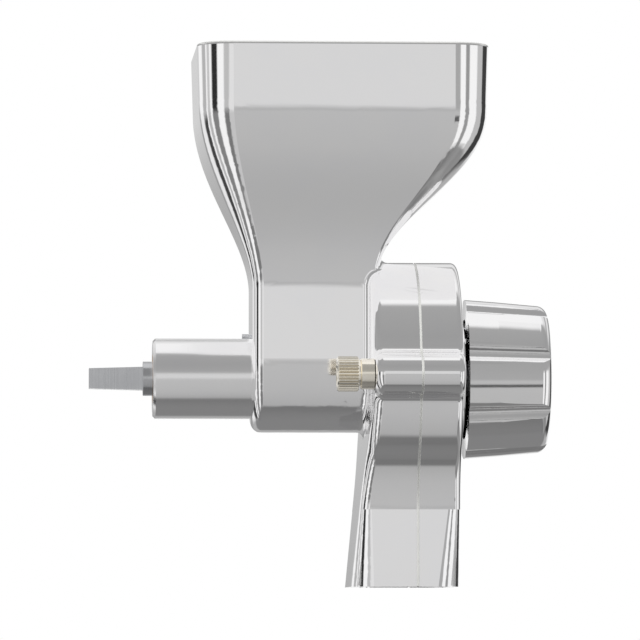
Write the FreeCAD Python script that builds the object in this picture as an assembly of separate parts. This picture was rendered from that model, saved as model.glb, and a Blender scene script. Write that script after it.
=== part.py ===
import FreeCAD, Part
import math
import os

# Grain mill attachment in millimetres. X runs along the shaft from the drive hub to the knob,
# Z is up, and the origin is on the shaft axis at the shoulder that meets the hub.

# Hopper
rim_height = 134.2
rim_length = 118.4
rim_width = 95.4
rim_overhang = 23.3
rim_band = 23.2
rim_draft = 0.7
rim_corner = 14.5
rim_round = 1.2
hopper_wall = 3.2

# How far the funnel has come over at six even heights, from the rim band down to the neck
funnel_back = [0, 0, 0.24, 0.58, 1, 1]
funnel_front = [0, 0, 0, 0.9, 1, 1]
funnel_sides = [0, 0, 0.16, 0.74, 1, 1]

# Neck and barrel under the hopper
neck_below_ring = 11.7
neck_width = 41.6
neck_corner = 4.5
neck_front_corner = 1.0
neck_sunk = 2.5
belly_start = 7.5
belly_depth = 22.0
throat_length = 34.0
throat_width = 28.0
throat_corner = 3.0
throat_from_shoulder = 7.0
barrel_bore = 31.0
barrel_back = 4.0

# Shank that enters the drive hub
shank_diameter = 32.8
shank_length = 40.0
shank_chamfer = 1.0
shoulder_diameter = 36.0
lock_seat_diameter = 9.0
lock_seat_depth = 2.5
lock_seat_from_shoulder = 21.0
locating_pin_diameter = 3.6
locating_pin_length = 10.0
locating_pin_stands_out = 3.0
locating_pin_circle = 39.4
locating_pin_angle = 60.0

# Burr chamber, ears and chute
housing_back = 47.5
housing_parting = 66.7
housing_front = 84.0
housing_diameter = 95.4
housing_back_round = 4.0
housing_front_round = 2.5
neck_fillet = 2.5
chamber_floor = 5.5
chamber_wall = 4.4
cover_wall = 4.0
tongue_wall = 1.75
tongue_length = 2.5
tongue_clearance = 0.05
parting_chamfer = 0.5
ear_spacing = 98.0
ear_diameter = 17.4
ear_blend = 4.0
chute_width = 55.0
chute_bottom = 85.0
chute_wall = 3.2
chute_blend = 34.0
chute_lean = 8.1
chute_lean_start = 7.0
chute_lean_blend = 80.0
chute_top_corner = 5.0
chute_foot_corner = 9.0

# Rotor
journal_diameter = 14.0
drive_square = 9.4
drive_square_length = 22.0
drive_square_taper = 1.2
shaft_behind_shank = 4.0
front_journal_diameter = 12.0
front_journal_end = 75.5
worm_core_diameter = 20.0
worm_diameter = 29.6
worm_pitch = 19.0
worm_root_width = 5.0
worm_tip_width = 2.6
worm_end = 56.5
worm_pin_diameter = 4.0
worm_pin_from_end = 8.0
washer_thickness = 1.5
washer_diameter = 24.0
spring_length = 10.0
spring_diameter = 18.4
spring_wire = 1.6
spring_turns = 3.5

# Bushes
running_clearance = 0.05
fit_clearance = 0.02
rear_bush_diameter = 20.0
rear_bush_flange_diameter = 26.0
rear_bush_flange = 1.5
front_bush_diameter = 17.0
front_bush_length = 8.0

# Burrs
burr_diameter = 66.0
burr_thickness = 7.0
burr_gap = 0.6
burr_groove_count = 16
burr_groove_width = 2.4
burr_groove_depth = 1.4
burr_groove_offset = 7.0
burr_mouth_diameter = 46.0
burr_mouth_depth = 3.0
burr_hub_diameter = 20.0
drive_pin_diameter = 4.0
drive_pin_length = 26.0
burr_screw_count = 3
burr_screw_circle = 50.0
burr_screw_diameter = 4.0
burr_screw_head = 8.0
burr_screw_head_height = 2.2
burr_screw_sunk = 1.8
burr_screw_grip = 4.2

# Adjuster
thrust_ball_diameter = 8.0
thrust_ball_seat = 1.9
thrust_pad_diameter = 9.0
thrust_pad_thickness = 3.0
screw_diameter = 14.0
screw_end = 112.0
screw_setback = 0.8
cover_boss_diameter = 28.0
nose_diameter = 24.0
nose_height = 3.0
index_ring_diameter = 48.0
index_ring_bore = 30.0
index_ring_height = 2.4
index_count = 12
index_depth = 0.7

# Knob
knob_back = 87.6
knob_front = 123.3
knob_back_diameter = 65.2
knob_front_diameter = 60.0
knob_front_round = 4.5
knob_dome = 2.0
knob_flute_count = 8
knob_flute_radius = 2.6
knob_flute_depth = 2.5
knob_flute_edge = 3.0
knob_turning_spare = 0.2
knob_flute_turn = 17.2
knob_cavity_diameter = 49.0
knob_face_wall = 7.5
knob_hub_diameter = 24.0
knob_hub_setback = 3.0
knob_pin_diameter = 4.0
knob_pin_place = 103.0
detent_circle = 38.0
detent_ball_diameter = 5.0
detent_ball_gap = 0.1
detent_boss_diameter = 9.0
detent_boss_setback = 0.6
detent_pocket_depth = 15.0
detent_clearance = 0.1
detent_wire = 0.6
detent_spring_diameter = 3.8
detent_turns = 9

# Thumb screws
thumb_head_diameter = 14.2
thumb_head_length = 8.7
thumb_head_chamfer = 0.6
thumb_knurl_count = 32
thumb_knurl_depth = 0.45
thumb_collar_diameter = 12.4
thumb_collar_length = 5.6
thumb_collar_chamfer = 0.5
thumb_neck_diameter = 10.0
thumb_neck_length = 0.6
thumb_screw_diameter = 6.0
thumb_screw_reach = 11.5
ear_hole_clearance = 0.3

# Places worked out from the sizes above
axis_x = FreeCAD.Vector(1, 0, 0)
tiny = 1e-6
join_tolerance = 0.005
overcut = 1.0
straight = [[0, 1]] * 3
funnel = [funnel_back, funnel_front, funnel_sides]
origin = FreeCAD.Vector(0, 0, 0)
rim_back = -rim_overhang
rim_front = rim_length - rim_overhang
rim_middle = (rim_back + rim_front) / 2
slope_top = rim_height - rim_band
neck_height = housing_diameter / 2 - neck_below_ring
chamber_bore = housing_diameter - 2 * chamber_wall
cover_bore = chamber_bore - 2 * (tongue_clearance + tongue_wall)
chute_inner_corner = chute_foot_corner - chute_wall
neck_front = housing_back + neck_sunk
floor_front = housing_back + chamber_floor
fixed_face = floor_front + burr_thickness
moving_face = fixed_face + burr_gap
moving_front = moving_face + burr_thickness
cover_inner = housing_front - cover_wall
boss_back = cover_inner - front_bush_length
flange_front = barrel_back + rear_bush_flange
spring_front = flange_front + spring_length
worm_start = spring_front + washer_thickness
shaft_back = -shank_length - shaft_behind_shank
ball_centre = front_journal_end + thrust_ball_diameter / 2 - thrust_ball_seat
pad_back = ball_centre + thrust_ball_diameter / 2 + fit_clearance
pad_front = pad_back + thrust_pad_thickness
screw_start = cover_inner + screw_setback
nose_front = housing_front + nose_height
index_face = housing_front + index_ring_height
detent_centre = index_face + detent_ball_gap + detent_ball_diameter / 2
detent_back = knob_back + detent_boss_setback
detent_end = detent_back + detent_pocket_depth
cavity_end = knob_front - knob_face_wall
collar_back = housing_back - thumb_collar_length
head_front = collar_back - thumb_neck_length
head_back = head_front - thumb_head_length
thumb_end = housing_parting + thumb_screw_reach


def vec(x, y, z):
    return FreeCAD.Vector(x, y, z)


def rod(diameter, x0, x1, y=0.0, z=0.0):
    return Part.makeCylinder(diameter / 2, x1 - x0, vec(x0, y, z), axis_x)


def tube(outer, inner, x0, x1):
    return rod(outer, x0, x1).cut(rod(inner, x0, x1))


def cone(d0, d1, x0, x1, y=0.0, z=0.0):
    return Part.makeCone(d0 / 2, d1 / 2, x1 - x0, vec(x0, y, z), axis_x)


def slab(x0, x1, half_y, z0, z1):
    return Part.makeBox(x1 - x0, 2 * half_y, z1 - z0, vec(x0, -half_y, z0))


def turned(shape, degrees):
    copy = shape.copy()
    copy.rotate(origin, axis_x, degrees)
    return copy


def ring_of(shape, count):
    return [turned(shape, 360.0 * i / count) for i in range(count)]


def polar(radius, degrees, x=0.0):
    """A point in the YZ plane, at an angle from +Y towards +Z."""
    a = math.radians(degrees)
    return vec(x, radius * math.cos(a), radius * math.sin(a))


def arc_about(centre, radius, a0, a1):
    """An arc in the YZ plane from angle a0 to angle a1, in degrees from +Y."""
    points = [centre + polar(radius, a) for a in (a0, (a0 + a1) / 2, a1)]
    return Part.Arc(*points).toShape()


def plan_corners(x0, x1, half_y, back_corner, front_corner):
    """Start, sharp corner and end of each rounded corner of a level rectangle, going round it."""
    b, f = back_corner, front_corner
    return [
        [(x1 - f, -half_y), (x1, -half_y), (x1, -half_y + f)],
        [(x1, half_y - f), (x1, half_y), (x1 - f, half_y)],
        [(x0 + b, half_y), (x0, half_y), (x0, half_y - b)],
        [(x0, -half_y + b), (x0, -half_y), (x0 + b, -half_y)],
    ]


def plan_strips(size):
    """The sides and corners of a rounded rectangle in order: two points a side, three a corner."""
    corners = plan_corners(*size)
    strips = []
    for last, corner in zip(corners[-1:] + corners, corners):
        strips.append([last[-1], corner[0]])
        strips.append(corner)
    return strips


def corner_arc(start, corner, end):
    """The arc that leaves start towards the corner and reaches end from it."""
    bend = (end - start).Length / (corner - start).Length
    middle = (start + end + corner * bend) * (1 / (2 + bend))
    return Part.Arc(start, middle, end).toShape()


def plan_outline(size, z):
    """A level rectangle with rounded corners, as a closed wire."""
    edges = []
    for strip in plan_strips(size):
        points = [vec(x, y, z) for x, y in strip]
        if len(points) == 2:
            edges.append(Part.LineSegment(*points).toShape())
        else:
            edges.append(corner_arc(*points))
    return Part.Wire(edges)


def eased_face(top, bottom, top_z, bottom_z, eases):
    """One side or corner between two level outlines. The eases say how far each control row has moved
    over, in X at the back, in X at the front and in Y."""
    back, front, sides = eases
    rows = len(sides)
    down = rows - 1
    rises = [top_z + (bottom_z - top_z) * i / down for i in range(rows)]
    poles = []
    for (top_x, top_y), (bottom_x, bottom_y) in zip(top, bottom):
        ends = front if top_x > rim_middle else back
        xs = [top_x + (bottom_x - top_x) * k for k in ends]
        ys = [top_y + (bottom_y - top_y) * k for k in sides]
        poles.append([vec(*place) for place in zip(xs, ys, rises)])
    across = len(poles) - 1
    weights = [[1.0] * rows for _ in poles]
    if across > 1:
        weights[1] = [math.sqrt(0.5)] * rows
    surface = Part.BSplineSurface()
    surface.buildFromPolesMultsKnots(poles, [across + 1] * 2, [down + 1] * 2, [0, 1], [0, 1],
                                     False, False, across, down, weights)
    return surface.toShape()


def eased_sides(top, bottom, top_z, bottom_z, eases):
    pairs = zip(plan_strips(top), plan_strips(bottom))
    return [eased_face(a, b, top_z, bottom_z, eases) for a, b in pairs]


def solid_of(faces):
    skin = Part.makeCompound(faces)
    skin.sewShape()
    shell = Part.Shell(skin.Faces)
    solid = Part.makeSolid(shell)
    if solid.Orientation == "Reversed":
        solid = Part.makeSolid(shell.reversed())
    return solid


def drawn_in(size, step):
    """The same rounded rectangle, smaller by a step all round."""
    x0, x1, half_y, back_corner, front_corner = size
    return (x0 + step, x1 - step, half_y - step, back_corner - step, front_corner - step)


def hopper_solid(top, bottom, top_z):
    """A slightly drafted band, then a funnel that eases over and comes upright again at the neck."""
    foot = drawn_in(top, rim_draft)
    faces = eased_sides(top, foot, top_z, slope_top, straight)
    faces += eased_sides(foot, bottom, slope_top, neck_height, funnel)
    faces.append(Part.Face(plan_outline(top, top_z)))
    faces.append(Part.Face(plan_outline(bottom, neck_height)))
    return solid_of(faces)


def hopper_outside():
    top = (rim_back, rim_front, rim_width / 2, rim_corner, rim_corner)
    neck = (0.0, neck_front, neck_width / 2, neck_corner, neck_front_corner)
    solid = hopper_solid(top, neck, rim_height)
    rim = [e for e in solid.Edges if e.BoundBox.ZMin > rim_height - rim_round]
    return solid.makeFillet(rim_round, rim)


def hopper_inside():
    top = drawn_in((rim_back, rim_front, rim_width / 2, rim_corner, rim_corner), hopper_wall)
    throat_front = throat_from_shoulder + throat_length
    throat = (throat_from_shoulder, throat_front, throat_width / 2, throat_corner, throat_corner)
    inside = hopper_solid(top, throat, rim_height + hopper_wall)
    well = Part.Face(plan_outline(throat, neck_height)).extrude(vec(0, 0, -neck_height))
    return [inside, well]


def neck_and_barrel():
    """An upright U section along the shaft, with its back edge rounded."""
    half = neck_width / 2
    high = belly_depth + belly_start
    top_left = vec(0, -half, neck_height)
    top_right = vec(0, half, neck_height)
    low_left = vec(0, -half, belly_start)
    low_right = vec(0, half, belly_start)
    ellipse = Part.Ellipse(vec(0, 0, belly_start - high), low_right, vec(0, 0, belly_start))
    belly = Part.ArcOfEllipse(ellipse, -math.pi / 2, math.pi / 2).toShape()
    edges = [
        Part.LineSegment(top_right, top_left).toShape(),
        Part.LineSegment(top_left, low_left).toShape(),
        belly,
        Part.LineSegment(low_right, top_right).toShape(),
    ]
    wire = Part.Wire(Part.__sortEdges__(edges))
    solid = Part.Face(wire).extrude(vec(neck_front, 0, 0))
    back = [e for e in solid.Edges if e.BoundBox.XMax < tiny and e.BoundBox.ZMin < neck_height - overcut]
    return solid.makeFillet(neck_corner, back)


def blend_centre(r1, centre_y, r2, blend):
    """Centre of an arc that touches two circles from outside, above the Y axis."""
    a, b = r1 + blend, r2 + blend
    y = (a * a - b * b + centre_y * centre_y) / (2 * centre_y)
    return y, math.sqrt(a * a - y * y)


def chute_blend_centre():
    """Centre of the hollow arc that leads from the round chamber to the upright chute."""
    y = (chute_width / 2) + chute_blend
    reach = housing_diameter / 2 + chute_blend
    return y, -math.sqrt(reach * reach - y * y)


def housing_outline():
    """Front view of burr chamber, ears and chute, as a closed face in the YZ plane."""
    r = housing_diameter / 2
    half = chute_width / 2
    ear_y, ear_r = ear_spacing / 2, ear_diameter / 2
    by, bz = blend_centre(r, ear_y, ear_r, ear_blend)
    ear_turn = math.degrees(math.atan2(bz, by))
    ear_end = math.degrees(math.atan2(bz, by - ear_y))
    cy, cz = chute_blend_centre()
    chute_turn = math.degrees(math.atan2(cz, cy))
    side = [
        arc_about(origin, r, 90, ear_turn),
        arc_about(vec(0, by, bz), ear_blend, 180 + ear_turn, 180 + ear_end),
        arc_about(vec(0, ear_y, 0), ear_r, ear_end, -ear_end),
        arc_about(vec(0, by, -bz), ear_blend, 180 - ear_end, 180 - ear_turn),
        arc_about(origin, r, -ear_turn, chute_turn),
        arc_about(vec(0, cy, cz), chute_blend, 180 + chute_turn, 180),
        Part.LineSegment(vec(0, half, cz), vec(0, half, -chute_bottom)).toShape(),
    ]
    mirrored = [e.mirror(origin, vec(0, 1, 0)) for e in side]
    foot = Part.LineSegment(vec(0, half, -chute_bottom), vec(0, -half, -chute_bottom)).toShape()
    return Part.Face(Part.Wire(Part.__sortEdges__(side + mirrored + [foot])))


def lean_angle():
    return math.atan2(chute_lean, chute_bottom - chute_lean_start)


def lean_place(back, turn):
    """A point on the arc that starts the lean, after the given turn."""
    x = back - chute_lean_blend * (1 - math.cos(turn))
    return vec(x, 0, -chute_lean_start - chute_lean_blend * math.sin(turn))


def chute_back(back, z):
    """How far back the leaning wall stands at a height below its arc."""
    end = lean_place(back, lean_angle())
    return end.x - (end.z - z) * math.tan(lean_angle())


def housing_side(back, front):
    """Side view of the housing, extruded across it: upright at the back, then leaning out."""
    reach = ear_spacing
    turn = lean_angle()
    foot_z = -chute_bottom - chute_wall
    arc = [lean_place(back, share * turn) for share in (0, 0.5, 1)]
    corners = [arc[-1], vec(chute_back(back, foot_z), 0, foot_z), vec(front, 0, foot_z),
               vec(front, 0, reach), vec(back, 0, reach), arc[0]]
    edges = [Part.Arc(*arc).toShape()]
    edges += [Part.LineSegment(a, b).toShape() for a, b in zip(corners, corners[1:])]
    side = Part.Face(Part.Wire(edges))
    side.translate(vec(0, -reach, 0))
    return side.extrude(vec(0, 2 * reach, 0))


def housing_block():
    """Both halves of the burr chamber and chute as one sharp-edged block."""
    prism = housing_outline()
    prism.translate(vec(housing_back - 2 * chute_lean, 0, 0))
    prism = prism.extrude(vec(housing_front - housing_back + 3 * chute_lean, 0, 0))
    return prism.common(housing_side(housing_back, housing_front))


def outline_edges(solid):
    """Edges round the front and back faces of a block, without the straight ones across and along it."""
    edges = []
    for e in solid.Edges:
        box = e.BoundBox
        across = box.ZLength < tiny and box.XLength < tiny
        along = box.YLength < tiny and box.ZLength < tiny
        if not across and not along:
            edges.append(e)
    return edges


def rounded_chamber(block):
    """The part above the chute, with an even round along its front and back edges."""
    middle = (housing_back + housing_front) / 2
    back = [e for e in outline_edges(block) if e.BoundBox.XMax < middle]
    solid = block.makeFillet(housing_back_round, back)
    front = [e for e in outline_edges(solid) if e.BoundBox.XMin > housing_front - tiny]
    return solid.makeFillet(housing_front_round, front)


def chute_outside(top_z):
    """The chute, whose four upright corners round off more and more towards the foot."""
    half = chute_width / 2
    top = (chute_back(housing_back, top_z), housing_front, half, chute_top_corner, chute_top_corner)
    back = chute_back(housing_back, -chute_bottom)
    foot = (back, housing_front, half, chute_foot_corner, chute_foot_corner)
    faces = eased_sides(top, foot, top_z, -chute_bottom, straight)
    faces.append(Part.Face(plan_outline(top, top_z)))
    faces.append(Part.Face(plan_outline(foot, -chute_bottom)))
    return solid_of(faces)


def housing_outside():
    """Both halves of the burr chamber and chute as one block with its edges rounded."""
    split = chute_blend_centre()[1]
    reach = 2 * rim_length
    above = housing_block().common(slab(-reach, reach, reach, split, reach))
    return rounded_chamber(above).fuse(chute_outside(split)).removeSplitter()


def half_of(solid, x0, x1):
    reach = rim_length
    return solid.common(slab(x0, x1, reach, -reach, reach))


def parting_edges(solid):
    flat = [e for e in solid.Edges if e.BoundBox.XLength < tiny]
    return [e for e in flat if abs(e.BoundBox.XMin - housing_parting) < tiny]


def chute_inside(x0, x1):
    """The way down for the flour, open at the foot of the chute, with rounded corners."""
    shaft = slab(housing_back - chute_lean, housing_front, chute_width / 2 - chute_wall,
                 -chute_bottom - chute_wall, 0)
    inner = shaft.common(housing_side(floor_front, cover_inner))
    inner = inner.makeFillet(chute_inner_corner, outline_edges(inner))
    return inner.common(slab(x0, x1, chute_width, -2 * chute_bottom, chute_width))


def ear_rods(diameter, x0, x1):
    return [rod(diameter, x0, x1, side * ear_spacing / 2) for side in (-1, 1)]


def neck_root_edges(body):
    """Edges where the neck, barrel and hopper meet the back of the burr chamber."""
    half = neck_width / 2 + neck_fillet
    edges = []
    for e in body.Edges:
        box = e.BoundBox
        at_back = box.XMin > housing_back - neck_fillet and box.XMax < neck_front + housing_back_round
        beside = max(abs(box.YMin), abs(box.YMax)) < half and box.ZMin > -belly_depth - neck_fillet
        if at_back and beside and box.YLength + box.ZLength > neck_fillet / 4:
            edges.append(e)
    return edges


def mill_body():
    outside = housing_outside()
    rear = half_of(outside, housing_back - 2 * chute_lean, housing_parting)
    rear = rear.makeChamfer(parting_chamfer, parting_edges(rear))
    shank = rod(shank_diameter, -shank_length + shank_chamfer, barrel_back / 2)
    shoulder = rod(shoulder_diameter, 0, barrel_back / 2)
    tip = shank_diameter - 2 * shank_chamfer
    nose = cone(tip, shank_diameter, -shank_length, -shank_length + shank_chamfer)
    body = hopper_outside().fuse([neck_and_barrel()], join_tolerance).removeSplitter()
    body = body.fuse([rear, shoulder, shank, nose]).removeSplitter()
    body = body.makeFillet(neck_fillet, neck_root_edges(body))
    cuts = hopper_inside()
    cuts.append(rod(barrel_bore, barrel_back, housing_parting))
    cuts.append(rod(rear_bush_diameter, -shank_length - overcut, housing_back))
    cuts.append(rod(chamber_bore, floor_front, housing_parting + overcut))
    cuts.append(chute_inside(housing_back - 2 * chute_lean, housing_parting + overcut))
    hole = thumb_screw_diameter + 2 * ear_hole_clearance
    cuts += ear_rods(hole, housing_back - overcut, housing_parting + overcut)
    tap = rod(burr_screw_diameter, floor_front - burr_screw_grip, floor_front, 0, burr_screw_circle / 2)
    cuts += ring_of(tap, burr_screw_count)
    cuts.append(locating_pin())
    seat_tip = shank_diameter / 2 - lock_seat_depth
    cuts.append(Part.makeCone(0, lock_seat_diameter, 2 * lock_seat_depth,
                              vec(-lock_seat_from_shoulder, seat_tip, 0), vec(0, 1, 0)))
    return body.cut(cuts)


def locating_pin():
    place = polar(locating_pin_circle / 2, locating_pin_angle)
    inside = locating_pin_length - locating_pin_stands_out
    return rod(locating_pin_diameter, -locating_pin_stands_out, inside, place.y, place.z)


def rear_bush():
    sleeve = rod(rear_bush_diameter, -shank_length, barrel_back)
    flange = rod(rear_bush_flange_diameter, barrel_back, flange_front)
    bore = rod(journal_diameter + 2 * running_clearance, -shank_length, flange_front)
    return sleeve.fuse(flange).cut(bore).removeSplitter()


def burr_grooves(face, direction):
    """Slanted furrows across a grinding face, cut towards the burr's own back."""
    depth = burr_groove_depth
    x0 = face if direction > 0 else face - depth
    furrow = Part.makeBox(depth, burr_groove_width, burr_diameter,
                          vec(x0, burr_groove_offset, barrel_bore / 2 - burr_groove_width))
    return ring_of(furrow, burr_groove_count)


def burr_screw():
    place = burr_screw_circle / 2
    top = fixed_face - burr_screw_sunk
    under = top - burr_screw_head_height
    head = cone(burr_screw_diameter, burr_screw_head, under, top, 0, place)
    stem = rod(burr_screw_diameter, floor_front - burr_screw_grip, under, 0, place)
    return head.fuse(stem).removeSplitter()


def fixed_burr():
    plate = tube(burr_diameter, barrel_bore, floor_front, fixed_face)
    place = burr_screw_circle / 2
    top = fixed_face - burr_screw_sunk
    under = top - burr_screw_head_height
    stem = burr_screw_diameter + 2 * fit_clearance
    head = burr_screw_head + 2 * fit_clearance
    hole = rod(stem, floor_front, fixed_face, 0, place)
    sink = cone(stem, head, under, top, 0, place)
    well = rod(head, top, fixed_face, 0, place)
    cuts = burr_grooves(fixed_face, -1)
    for one in (hole, sink, well):
        cuts += ring_of(one, burr_screw_count)
    return plate.cut(cuts)


def fixed_burr_screws():
    return Part.makeCompound(ring_of(burr_screw(), burr_screw_count))


def biarc(start, start_way, end, end_way):
    """Two arcs that meet smoothly and lead from one point and direction to another."""
    gap = end - start
    ways = start_way + end_way
    a, b, c = 4 - ways.dot(ways), 2 * gap.dot(ways), -gap.dot(gap)
    reach = (math.sqrt(b * b - 4 * a * c) - b) / (2 * a)
    first, second = start + start_way * reach, end - end_way * reach
    joint = (first + second) * 0.5
    return [corner_arc(start, first, joint), corner_arc(joint, second, end)]


def coil(diameter, wire, x0, x1, turns, y=0.0, z=0.0):
    """An open coil spring along X, its line made of quarter turns that meet smoothly."""
    quarters = round(4 * turns)
    rise = (x1 - x0 - wire) / quarters
    places, ways = [], []
    for i in range(quarters + 1):
        out = polar(diameter / 2, 90 * i)
        places.append(vec(x0 + wire / 2 + rise * i, y, z) + out)
        ways.append((vec(rise, 0, 0) + polar(diameter / 2, 90 * i + 90) * (math.pi / 2)).normalize())
    edges = []
    for i in range(quarters):
        edges += biarc(places[i], ways[i], places[i + 1], ways[i + 1])
    section = Part.Wire(Part.makeCircle(wire / 2, places[0], ways[0]))
    return Part.Wire(edges).makePipeShell([section], True, False)


def return_spring():
    return coil(spring_diameter, spring_wire, flange_front, spring_front - fit_clearance, spring_turns)


def front_cover():
    cover = half_of(housing_outside(), housing_parting, housing_front)
    cover = cover.makeChamfer(parting_chamfer, parting_edges(cover))
    cover = cover.cut([rod(cover_bore, housing_parting, cover_inner),
                       chute_inside(housing_parting - overcut, housing_front)])
    tongue = tube(chamber_bore - 2 * tongue_clearance, cover_bore,
                  housing_parting - tongue_length, housing_parting)
    way_down = slab(housing_back, housing_front, chute_width / 2, -housing_diameter, 0)
    tongue = tongue.cut(way_down)
    boss = rod(cover_boss_diameter, boss_back, cover_inner)
    nose = rod(nose_diameter, housing_front, nose_front)
    index = tube(index_ring_diameter, index_ring_bore, housing_front, index_face)
    notch = Part.makeSphere(detent_ball_diameter / 2,
                            vec(index_face + detent_ball_diameter / 2 - index_depth, 0, detent_circle / 2))
    cover = cover.fuse([tongue, boss, nose, index]).removeSplitter()
    cuts = ring_of(notch, index_count)
    cuts.append(rod(front_bush_diameter, boss_back, cover_inner))
    cuts.append(rod(screw_diameter, cover_inner, nose_front))
    hole = thumb_screw_diameter + 2 * running_clearance
    cuts += ear_rods(hole, housing_parting, thumb_end + overcut)
    return cover.cut(cuts)


def front_bush():
    bore = front_journal_diameter + 2 * running_clearance
    return tube(front_bush_diameter, bore, boss_back, cover_inner)


def drive_shaft():
    journal = rod(journal_diameter, shaft_back, worm_end)
    front = rod(front_journal_diameter, worm_end, front_journal_end)
    half, tip = drive_square / 2, drive_square / 2 - drive_square_taper / 2
    square = [plan_square(half, shaft_back), plan_square(tip, shaft_back - drive_square_length)]
    drive = Part.makeLoft(square, True, True)
    shaft = journal.fuse([front, drive]).removeSplitter()
    seat = Part.makeSphere(thrust_ball_diameter / 2 + fit_clearance, vec(ball_centre, 0, 0))
    return shaft.cut([seat, worm_pin(), burr_drive_pin()])


def plan_square(half, x):
    corners = [vec(x, half, half), vec(x, -half, half), vec(x, -half, -half), vec(x, half, -half)]
    return Part.makePolygon(corners + corners[:1])


def worm_flight():
    """One screw flight of tapered section, made upright and then laid along the shaft."""
    length = worm_end - worm_start
    r_in = worm_core_diameter / 2 - worm_tip_width / 4
    r_out = worm_diameter / 2
    root, tip = worm_root_width / 2, worm_tip_width / 2
    rise = length - worm_root_width
    helix = Part.makeHelix(worm_pitch, rise, r_in)
    corners = [vec(r_in, 0, -root), vec(r_out, 0, -tip), vec(r_out, 0, tip), vec(r_in, 0, root)]
    section = Part.makePolygon(corners + corners[:1])
    flight = Part.Wire(helix.Edges).makePipeShell([section], True, True)
    flight.rotate(origin, vec(0, 1, 0), 90)
    flight.translate(vec(worm_start + root, 0, 0))
    return flight


def feed_worm():
    core = rod(worm_core_diameter, worm_start, worm_end)
    bore = rod(journal_diameter + 2 * fit_clearance, worm_start, worm_end)
    return core.fuse(worm_flight()).removeSplitter().cut([bore, worm_pin()])


def cross_pin(diameter, length, x):
    return Part.makeCylinder(diameter / 2, length, vec(x, -length / 2, 0), vec(0, 1, 0))


def worm_pin():
    length = worm_core_diameter - worm_pin_diameter
    return cross_pin(worm_pin_diameter, length, worm_end - worm_pin_from_end)


def spring_washer():
    return tube(washer_diameter, journal_diameter + 2 * fit_clearance, spring_front, worm_start)


def burr_drive_pin():
    return cross_pin(drive_pin_diameter, drive_pin_length, moving_front)


def moving_burr():
    plate = rod(burr_diameter, moving_face, moving_front)
    hub = rod(burr_hub_diameter, worm_end, moving_face)
    mouth = cone(burr_mouth_diameter, burr_hub_diameter, moving_face, moving_face + burr_mouth_depth)
    core = rod(burr_hub_diameter, worm_end, moving_front)
    plate = plate.cut(mouth).fuse([hub, core]).removeSplitter()
    bore = rod(front_journal_diameter + 2 * fit_clearance, worm_end, moving_front)
    wide = drive_pin_diameter + 2 * fit_clearance
    slot = Part.makeBox(wide / 2, drive_pin_length + 2 * fit_clearance, wide,
                        vec(moving_front - wide / 2, -drive_pin_length / 2 - fit_clearance, -wide / 2))
    return plate.cut(burr_grooves(moving_face, 1) + [bore, slot])


def thrust_ball():
    return Part.makeSphere(thrust_ball_diameter / 2, vec(ball_centre, 0, 0))


def thrust_pad():
    return rod(thrust_pad_diameter, pad_back, pad_front)


def adjusting_screw():
    stem = rod(screw_diameter - 2 * running_clearance, screw_start, screw_end)
    pocket = rod(thrust_pad_diameter + 2 * running_clearance, screw_start, pad_front)
    return stem.cut([pocket, knob_pin()])


def knob_pin():
    return cross_pin(knob_pin_diameter, knob_hub_diameter, knob_pin_place)


def fluted_outline(diameter, x):
    """Round outline with rounded flutes, its arcs meeting smoothly, as a closed wire."""
    r = diameter / 2
    share = diameter / knob_back_diameter
    flute, edge = knob_flute_radius * share, knob_flute_edge * share
    centre = r - knob_flute_depth * share + flute
    inner, reach = r - edge, flute + edge
    half = math.degrees(math.acos((inner ** 2 + centre ** 2 - reach ** 2) / (2 * inner * centre)))
    corner = polar(inner, half) - polar(centre, 0)
    lean = math.degrees(math.atan2(corner.z, corner.y))
    step = 360.0 / knob_flute_count
    edges = []
    for i in range(knob_flute_count):
        turn = 180 - knob_flute_turn + step * i
        at = polar(centre, turn, x)
        low, high = polar(inner, turn - half, x), polar(inner, turn + half, x)
        edges.append(arc_about(low, edge, turn - half, turn - lean + 180))
        edges.append(arc_about(at, flute, turn - lean, turn + lean - 360))
        edges.append(arc_about(high, edge, turn + lean - 180, turn + half))
        edges.append(arc_about(vec(x, 0, 0), r, turn + half, turn + step - half))
    return Part.Wire(edges)


def knob_turning():
    """The knob's turned shape, a little outside the flutes, with a rounded and slightly domed front."""
    back = knob_back_diameter / 2 + knob_turning_spare
    front = knob_front_diameter / 2 + knob_turning_spare
    r = knob_front_round
    shoulder = knob_front - knob_dome
    k = math.sqrt(0.5)
    points = [vec(knob_back, 0, 0), vec(knob_back, 0, back), vec(shoulder - r, 0, front)]
    bend = vec(shoulder - r + r * k, 0, front - r + r * k)
    turn_end = vec(shoulder, 0, front - r)
    middle = vec(knob_front - knob_dome / 4, 0, (front - r) / 2)
    tip = vec(knob_front, 0, 0)
    edges = [Part.LineSegment(a, b).toShape() for a, b in zip(points, points[1:])]
    edges.append(Part.Arc(points[-1], bend, turn_end).toShape())
    edges.append(Part.Arc(turn_end, middle, tip).toShape())
    edges.append(Part.LineSegment(tip, points[0]).toShape())
    return Part.Face(Part.Wire(edges)).revolve(origin, axis_x, 360)


def adjusting_knob():
    wires = [fluted_outline(knob_back_diameter, knob_back), fluted_outline(knob_front_diameter, knob_front)]
    knob = Part.makeLoft(wires, True, True).common(knob_turning())
    knob = knob.cut(rod(knob_cavity_diameter, knob_back, cavity_end))
    hub = rod(knob_hub_diameter, knob_back + knob_hub_setback, cavity_end)
    boss = rod(detent_boss_diameter, detent_back, cavity_end, 0, detent_circle / 2)
    knob = knob.fuse([hub, boss]).removeSplitter()
    bore = rod(screw_diameter - 2 * running_clearance + 2 * fit_clearance, knob_back, screw_end)
    pocket = rod(detent_ball_diameter + 2 * detent_clearance, detent_back, detent_end, 0, detent_circle / 2)
    return knob.cut([bore, pocket, knob_pin()])


def detent_ball():
    return Part.makeSphere(detent_ball_diameter / 2, vec(detent_centre, 0, detent_circle / 2))


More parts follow.
